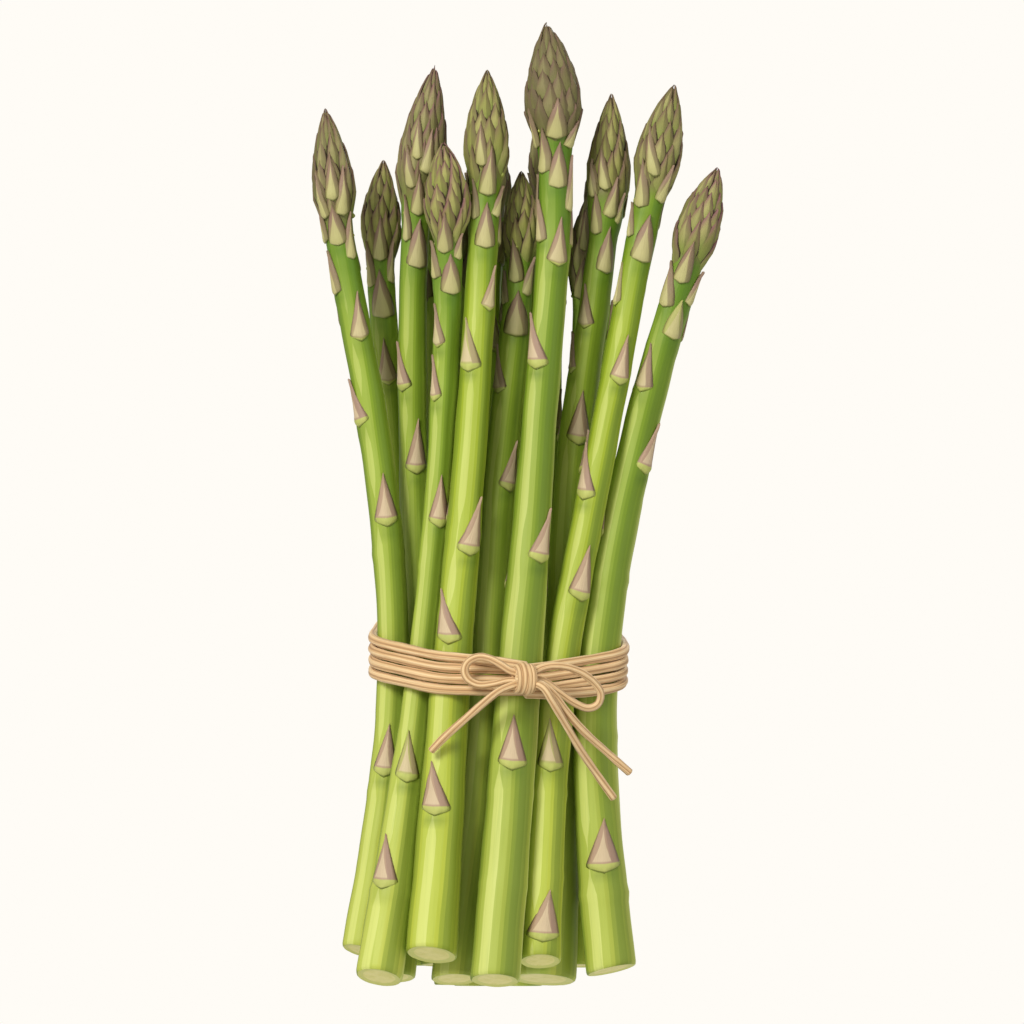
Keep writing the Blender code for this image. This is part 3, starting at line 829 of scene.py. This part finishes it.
fine = skin.grain(skin.vector(px * 4.0, py * 4.0, pz * 0.22), 2.0, 3.0, 0.6)
green = skin.coats(
    skin.blend(up.over(0.0, 0.85), paint(180, 188, 78), paint(124, 150, 36)),
    (sunny, paint(172, 184, 44)),
    (sunny * -1.0, paint(92, 120, 26)),
    # Painted highlight in pale bands, one at the front left, and painted shade in deep bands right of the front.
    (bands(0.0, 0.50) * 0.34, paint(184, 198, 92)),
    (bands(-0.06, gleam * 0.24) * (0.62 - up * 0.36), paint(212, 218, 128)),
    (bands(1.05, 0.42) * 0.42, paint(94, 122, 26)),
    (bands(1.02, 0.20) * 0.30, paint(82, 110, 20)),
    (fine.over(0.45, 0.75) * 0.16, paint(100, 132, 30)),
    # Painted shadow under each leaf's lip.
    (under * 0.8, paint(62, 92, 18)),
    (up.over(0.84, 0.99) * 0.6, paint(82, 122, 28)),
    (up.over(1.01, 1.04), paint(118, 110, 66)),
    # Painted light: a lighter green where the bundle shades the skin.
    (crowd.over(0.35, 1.0) * 0.6, paint(166, 192, 74)),
)
relief = fine * 0.6 + skin.grain(skin.vector(px * 9.0, py * 9.0, pz * 0.9), 3.0, 2.0) * 0.4
bumped = skin.bump(relief, 0.2, 0.0004)
skin.lay_on(Base_Color=green, Roughness=0.42 + fine * 0.16, Normal=bumped, Specular_IOR_Level=0.3)

# %% [markdown]
# A scale leaf is dry and papery: tan with a mauve flush, paler in a smaller triangle in the middle, and lime green
# at the fleshy lip. Painted shade darkens its right edge, the bottom of its lip, and leaves deep in the bundle.

# %% The scale leaves
leaf = Finish("scale_leaf")
across, height_up, chance_leaf = leaf.note("zone")
lx, ly, lz = leaf.note("place")
leaf_crowd, _, leaf_violet = leaf.note("tone")
veins = leaf.grain(leaf.vector(lx * 3.2 + chance_leaf * 40.0, ly * 0.22, chance_leaf * 9.0), 1.6, 3.0, 0.6)
mottle = leaf.grain(leaf.vector(lx * 0.5, ly * 0.35, chance_leaf * 40.0), 1.0, 2.0)
high = lz.over(0.72, 1.0)
upper = leaf.blend((height_up + abs(across) * 0.2).over(0.1, 0.75), paint(160, 166, 86), paint(140, 114, 92))
above_lip = height_up + abs(across) * 0.02 + high * 0.2  # up at the neck the lip has dried as well
inside = (1 - (abs(across + 0.12) + height_up * 0.9)).over(0.24, 0.30) * above_lip.over(0.18, 0.22)
shaded_edge = (across - 0.42 + height_up * 0.25).over(0.0, 0.1)
lip = 1 - above_lip.over(0.15, 0.18)
paper = leaf.coats(
    leaf.blend(high, paint(174, 146, 118), upper),
    (leaf_violet * 0.25, paint(160, 126, 112)),
    (chance_leaf.over(0.93, 0.97) * 0.8, paint(172, 176, 92)),
    (inside * 0.8, leaf.blend(high, paint(206, 186, 150), paint(186, 180, 120))),
    # Painted shade on the right edge.
    (shaded_edge * 0.6, leaf.blend(high, paint(148, 120, 104), paint(124, 112, 76))),
    (abs(across).over(0.86, 0.98) * 0.35, paint(122, 104, 74)),
    (veins.over(0.5, 0.72) * 0.22, paint(142, 124, 92)),
    (lip * 0.92, leaf.blend(mottle, paint(196, 200, 108), paint(154, 168, 72))),
    # Painted shade along the bottom of the lip.
    ((1 - height_up.over(0.0, 0.04)) * 0.45, paint(92, 118, 36)),
    # Painted shade where the bundle shades the leaf.
    (leaf_crowd.over(0.25, 1.0) * 0.55, paint(70, 72, 30)),
)
leaf.lay_on(Base_Color=paper, Roughness=0.52 + veins * 0.14, Normal=leaf.bump(veins, 0.35, 0.0004))

# %% [markdown]
# The head's scales are olive green in the middle and turn purple brown at the edges and the point. How purple a
# head is differs from spear to spear. Some scales get a pale painted highlight in the middle, each gets painted
# shade down its right side and a dark painted-shade outline at its edges, and scales deep in the bundle are painted
# darker as shade.

# %% The scales of the head
scale = Finish("head_scale")
across, height_up, chance_scale = scale.note("zone")
sx, sy, sz = scale.note("place")
scale_crowd, scale_sunny, scale_violet = scale.note("tone")
veins = scale.grain(scale.vector(sx * 2.6 + chance_scale * 40.0, sy * 0.3, 0.0), 1.8, 3.0, 0.6)
middle = (1 - (abs(across + 0.1) + abs(height_up - 0.55) * 1.2)).over(0.45, 0.52) * chance_scale.over(0.35, 0.6)
olive = scale.coats(
    scale.blend(chance_scale, paint(118, 116, 66), paint(156, 150, 98)),
    # Painted highlight in the middle of some scales.
    (middle * 0.35, paint(176, 168, 116)),
    (scale_sunny * 0.6, paint(180, 184, 84)),
    ((1 - height_up.over(0.2, 0.6)) * 0.8, paint(126, 142, 62)),
    (
        (height_up + abs(across) * 0.35).over(0.62, 1.15) * 0.9,
        scale.blend(scale_violet, paint(114, 98, 68), paint(134, 84, 96)),
    ),
    (veins.over(0.48, 0.7) * 0.3, paint(104, 98, 60)),
    # Painted shade down the right side.
    ((across + height_up * 0.3).over(0.30, 0.42) * 0.42, paint(88, 80, 50)),
    # Painted shade as a dark outline at the edges.
    ((abs(across) + height_up * 0.06).over(0.80, 0.92) * 0.85, paint(66, 50, 42)),
    (sz.over(1.08, 1.24) * 0.5, scale.blend(scale_violet, paint(108, 88, 66), paint(110, 74, 82))),
    (scale_sunny * -1.0, paint(98, 88, 60)),
    # Painted shade where the bundle shades the scale.
    (scale_crowd.over(0.25, 1.0) * 0.5, paint(60, 60, 28)),
)
scale_bump = scale.bump(veins, 0.2, 0.0004)
scale.lay_on(Base_Color=olive, Roughness=0.6 + veins * 0.12, Normal=scale_bump, Specular_IOR_Level=0.25)

# %% [markdown]
# The cut end is moist: pale yellow green, with a darker line inside the rind and small dots where the vessels run.

# %% The cut ends and the side buds
cut = Finish("cut_end")
from_middle, _, _ = cut.note("zone")
face = cut.node("ShaderNodeAttribute", {"attribute_name": "place"}, output="Vector")
cells = cut.node("ShaderNodeTexVoronoi", None, {"Vector": face, "Scale": 4.0, "Randomness": 0.9}, "Distance")
wet = cut.grain(face, 3.0, 3.0)
flesh = cut.coats(
    cut.blend(wet.over(0.35, 0.7), paint(240, 232, 150), paint(228, 222, 132)),
    ((1 - cells.over(0.10, 0.2)) * from_middle.over(0.1, 0.5) * 0.25, paint(196, 198, 104)),
    (from_middle.over(0.66, 0.72) * 0.75, paint(206, 212, 112)),
    (from_middle.over(0.9, 0.94) * 0.8, paint(150, 172, 66)),
)
cut.lay_on(Base_Color=flesh, Roughness=0.3 + wet * 0.2, Normal=cut.bump(cells, 0.3, 0.0003))

bud = Finish("side_bud")
_, bud_up, _ = bud.note("zone")
bud_green = bud.blend(bud_up.over(0.2, 1.0), paint(150, 160, 66), paint(182, 188, 100))
bud.lay_on(Base_Color=bud_green, Roughness=0.4)

# %% [markdown]
# Raffia is a dry leaf fibre: straw coloured in lighter and darker streaks, paler at its cut ends, and with a soft
# sheen. A pale painted highlight runs along the crown of each fibre, and painted shade makes a dark line in each
# furrow between them.

# %% The twine
twine = Finish("raffia")
tx, ty, tz = twine.note("place")
end_mark, _, strand = twine.note("zone")
fibres = twine.grain(twine.vector(tx * 2.2 + strand * 9.0, ty * 2.2, tz * 0.03), 1.7, 2.0, 0.6)
threads = twine.grain(twine.vector(tx * 5.0, ty * 5.0 + strand * 5.0, tz * 0.05), 1.6, 2.0, 0.6)
fibre_turn = twine.maths("ARCTAN2", ty, tx)
furrow_line = twine.maths("COSINE", fibre_turn * (FURROWS / 2) + (fibres - 0.5) * 0.8)
straw = twine.coats(
    twine.blend(fibres.over(0.36, 0.6), paint(206, 166, 114), paint(226, 192, 142)),
    # Painted highlight on the crowns of the fibres.
    ((1 - abs(furrow_line)).over(0.55, 0.85) * 0.5, paint(242, 218, 172)),
    # Painted shade in the furrows between the fibres.
    (abs(furrow_line).over(0.86, 0.96) * 0.75, paint(158, 114, 70)),
    (threads.over(0.58, 0.66) * 0.4, paint(168, 124, 78)),
    (end_mark.over(0.6, 0.9) * 0.7, paint(232, 200, 150)),
)
twine_bump = twine.bump(fibres + threads, 0.5, 0.0003)
twine.lay_on(Base_Color=straw, Roughness=0.62 + fibres * 0.14, Normal=twine_bump, Sheen_Weight=0.15)

# %% [markdown]
# Now the spears themselves. Each gets its own tint: how sunny its skin is, how purple its head is, and how much
# sunnier the head is than the stalk. The hidden ones take a purple by chance.

# %% Grow the spears
TINTS = {
    1: (0.0, 0.6, -0.15), 2: (0.1, 0.5, 0.4), 3: (0.08, 0.9, -0.25), 4: (0.0, 0.9, 0.5), 5: (0.45, 0.25, 0.0),
    6: (0.1, 0.4, 0.6), 7: (-0.4, 0.8, -0.15), 8: (0.15, 0.4, 0.3), 10: (0.4, 0.4, -0.2), 11: (-0.28, 1.0, 0.5),
}
WIDER = {"leaf": 1.12, "neck": 1.3}  # a leaf wraps the stalk, so it is wider than it looks from the front
NECK_LEAVES = 22.0  # how far below the neck the rounder leaves start
FINISHES = [finish.material for finish in (skin, leaf, scale, cut, bud)]

for spear in spears:
    chance = random.Random(500 + spear.number)
    violet_by_chance = chance.uniform(0.3, 0.7)
    sunny, violet, sunnier_head = TINTS.get(spear.number, (0.0, violet_by_chance, 0.0))
    spear.tint = (sunny, violet)
    work = Workpiece(f"asparagus_spear_{spear.number:02d}")
    edge, centre = grow_stalk(work, spear)
    cut_end(work, spear, edge, centre)
    for height, turn, length, tip_turn, width in leaves[spear.number]:
        kind = "neck" if height > spear.neck - NECK_LEAVES else "leaf"
        number = 1.0 if (spear.number, height) in PALE_LEAVES else 0.9 * chance.random()
        lay_scale(work, spear, kind, height, turn, length, tip_turn, width * WIDER[kind], number)
    spear.tint = (sunny + sunnier_head, violet)
    build_head(work, spear)
    work.make(FINISHES, [spear.node])

# %% [markdown]
# The twine goes four times round the bundle. Its turns are pulled tight, so seen from above each is the shortest
# loop round all the stalks: in every direction it touches the one that reaches furthest. The band climbs by one
# cord for each turn, and both ends cross over it to the knot.

# %% Wind the twine round the waist
TURNS = 4
POINTS_PER_TURN = 44
WRAP_RADIUS = 1.1
TWINE_CLEARANCE = 0.45
TURN_PITCH_FRONT, TURN_PITCH_SIDE = 2.5, 2.9
BAND_HEIGHT, BAND_SLOPE = 79.2, 0.28
END_STEPS, END_TURN = 5, math.radians(75)
DIRECTIONS = 1441


def band_height(back, turns):
    return BAND_HEIGHT + BAND_SLOPE * back + TURN_PITCH_SIDE * turns


def taut_loop(turns):
    """One turn pulled tight, from the knot round by the right, as (right, back) points."""
    circles = []
    for spear in spears:
        height = band_height(spear.middle(BAND_HEIGHT)[1], turns)
        x, y, _ = spear.middle(height)
        circles.append((x, y, float(spear.radius(height)) + TWINE_CLEARANCE + WRAP_RADIUS))
    circles = np.array(circles)
    angles = np.linspace(-math.pi / 2, 1.5 * math.pi, DIRECTIONS)
    out = np.stack([np.cos(angles), np.sin(angles)], axis=1)
    reach = out @ circles[:, :2].T + circles[:, 2]
    best = reach.argmax(axis=1)
    edge = circles[best, :2] + out * circles[best, 2][:, None]
    at_the_back = edge[:, 1] > 0
    first = np.argmin(np.abs(edge[:, 0] - KNOT_CENTRE[0]) + 1e3 * at_the_back)
    edge = np.roll(edge[:-1], -first, axis=0)
    return evenly(np.vstack([edge, edge[:1]]), POINTS_PER_TURN + 1)


loops = [taut_loop(turn - TURNS / 2) for turn in range(TURNS + 1)]
last = TURNS * POINTS_PER_TURN
band = []
for step in range(last + 1):
    turn, place = divmod(step, POINTS_PER_TURN)
    share = place / POINTS_PER_TURN
    right, back = loops[turn][place] * (1 - share) + loops[min(turn + 1, TURNS)][place] * share
    spread = TURN_PITCH_FRONT / TURN_PITCH_SIDE
    spread += (1 - spread) * math.sin(math.pi * share) ** 2
    lifted = band_height(back, spread * (turn + share - TURNS / 2))
    over = END_TURN * max(0.0, 1 - min(step, last - step) / END_STEPS)
    lifted += (1 if step < last / 2 else -1) * TURN_PITCH_FRONT * (1 - math.cos(over))
    band.append((right, back - TURN_PITCH_FRONT * math.sin(over), lifted))
band = np.array(band)
band[2:-2] = 0.25 * band[1:-3] + 0.5 * band[2:-2] + 0.25 * band[3:-1]
work = Workpiece("raffia_band")
sweep_raffia(work, smooth_route(band, 1.3), WRAP_RADIUS * 1.11, 7, twist=0.004)
work.make([raffia], ["twine_wrap"])
print("twine round the waist, mm:", round(length_of(band)))

# %% [markdown]
# The knot is the twine wound twice round the crossing, each time with its two fibres side by side. Four rings
# that bulge to the right at the front show just that, and the core fills what is behind them.

# %% Tie the knot
KNOT_RINGS = [(-1.95, 0.85, 0.0, 0.9), (-1.05, 1.0, 0.15, 1.0), (0.05, 1.0, -0.15, 1.0), (0.95, 1.0, -0.05, 0.92)]
RING_DEPTH, RING_HEIGHT, RING_STRAND = 2.3, 3.05, 0.84
CORE_RADIUS = 2.1

work = Workpiece("raffia_knot")
circle = full_circle(40)
for k, (right, bulge, rise, size) in enumerate(KNOT_RINGS):
    back, up = RING_DEPTH * size * np.cos(circle), RING_HEIGHT * size * np.sin(circle)
    ring = np.stack([right - bulge * np.cos(circle), back, rise + up], axis=1)
    sweep_raffia(work, KNOT_CENTRE + ring, RING_STRAND, 60 + k, sides=14, closed=True)
core = np.array([[x, 0.0, 0.0] for x in np.linspace(-2.0, 2.0, 6)])
sweep_raffia(work, KNOT_CENTRE + core, CORE_RADIUS, 71, sides=24)
work.make([raffia], ["twine_knot"])

# %% [markdown]
# The stage is a floor that fades into a dome of the same cream, so no edge shows behind the bundle. Both are bright
# by themselves and light nothing. A smaller unseen disc sends light up, as a real floor would. The lamps do the
# rest: a broad soft key from the upper left, a weaker one from the right, and one behind the bundle.

# %% Floor, dome and lamps
CREAM = (1.0, 0.973, 0.922, 1.0)
LAMPS_AIM_AT = Vector((0, 0, 0.11))


def stage_piece(name, strength, shape, **sizes):
    """A plain shape that glows in cream."""
    mesh = bpy.data.meshes.new(name)
    bm = bmesh.new()
    shape(bm, **sizes)
    bm.to_mesh(mesh)
    bm.free()
    finish = Finish(name + "_cream")
    glow = finish.node("ShaderNodeEmission", None, {"Color": CREAM, "Strength": strength})
    finish.feed(finish.tree.nodes["Material Output"].inputs["Surface"], glow)
    mesh.materials.append(finish.material)
    made = add_object(name, mesh)
    made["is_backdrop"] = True
    return made


def lamp(name, place, size, power, colour):
    data = bpy.data.lights.new(name, "AREA")
    data.shape, data.size, data.energy, data.color = "DISK", size, power, colour
    aim(add_object(name, data), place, LAMPS_AIM_AT)


disc = {"shape": bmesh.ops.create_circle, "cap_ends": True, "segments": 96}
floor = stage_piece("floor", 1.0, **disc, radius=3.0)
bounce = stage_piece("floor_bounce", 0.75, **disc, radius=0.75)
bounce.location.z = -0.002
bounce.visible_camera = bounce.visible_glossy = bounce.visible_shadow = False
dome = stage_piece("dome", 1.0, bmesh.ops.create_uvsphere, u_segments=48, v_segments=24, radius=6.0)
for shell in (floor, dome):
    shell.visible_diffuse = shell.visible_glossy = shell.visible_transmission = shell.visible_shadow = False

world = bpy.data.worlds.new("studio")
bpy.context.scene.world = world
world.use_nodes = True
background = world.node_tree.nodes["Background"].inputs
background["Color"].default_value = (1.0, 0.985, 0.95, 1.0)
background["Strength"].default_value = 0.46

lamp("key", (-0.82, -1.38, 1.0), 0.7, 28, (1.0, 0.98, 0.94))
lamp("fill", (1.5, -1.1, 0.5), 1.2, 6, (1.0, 0.99, 0.97))
lamp("behind", (0.3, 1.7, 1.1), 1.2, 18, (1.0, 0.98, 0.95))
bpy.context.scene.view_settings.view_transform = "Standard"
bpy.context.scene.view_settings.look = "None"
print("lamps:", len(bpy.data.lights))

# %% [markdown]
# The last cell compares the finished model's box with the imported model's, and closes the script.

# %% Check the size and finish
low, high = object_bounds()
print("size grows by, mm:", [round(((high - low)[k] - (cad_high - cad_low)[k]) / MM, 1) for k in range(3)])
